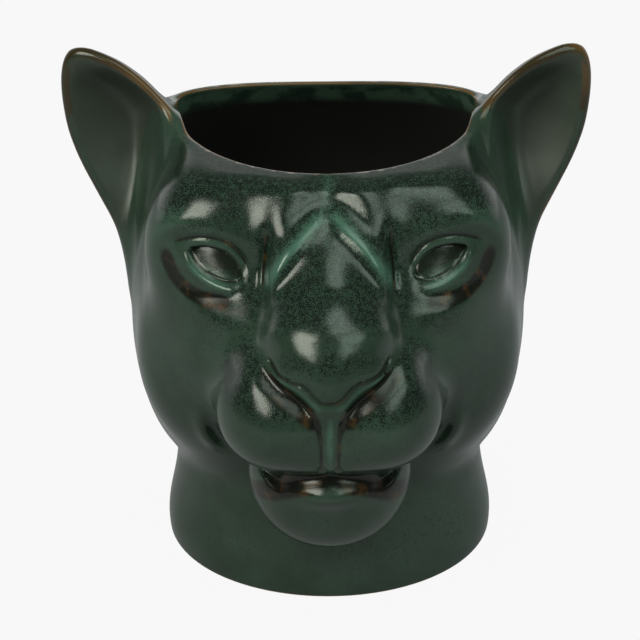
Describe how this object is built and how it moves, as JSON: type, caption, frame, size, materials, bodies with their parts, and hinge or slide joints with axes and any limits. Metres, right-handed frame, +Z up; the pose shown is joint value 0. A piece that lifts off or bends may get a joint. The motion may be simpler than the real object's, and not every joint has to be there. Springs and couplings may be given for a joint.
{
  "type": "animal head planter",
  "caption": "Stoneware planter shaped as a big cat's head, open at the crown, with cupped ears, a rolled foot, a floor with a drain hole and a lift-out drain plug.",
  "frame": {"origin": "on the surface the planter stands on, under the middle of its overall box", "axes": "+Z up through the open crown, -Y the way the face looks, +X towards the ear on the right of the picture"},
  "size_m": [0.195, 0.1772, 0.19],
  "materials": {
    "glaze": "gloss",
    "floor_glaze": "satin",
    "plug_rubber": "matte"
  },
  "bodies": {
    "pot": {"head_shell": "glaze", "left_ear": "glaze", "right_ear": "glaze", "floor_slab": "floor_glaze"},
    "plug": {"drain_plug": "plug_rubber"}
  },
  "joints": [
    {"name": "plug_lift", "type": "slide", "parent": "pot", "child": "plug", "axis": [0, 0, 1], "range_m": [0, 0.2]}
  ]
}
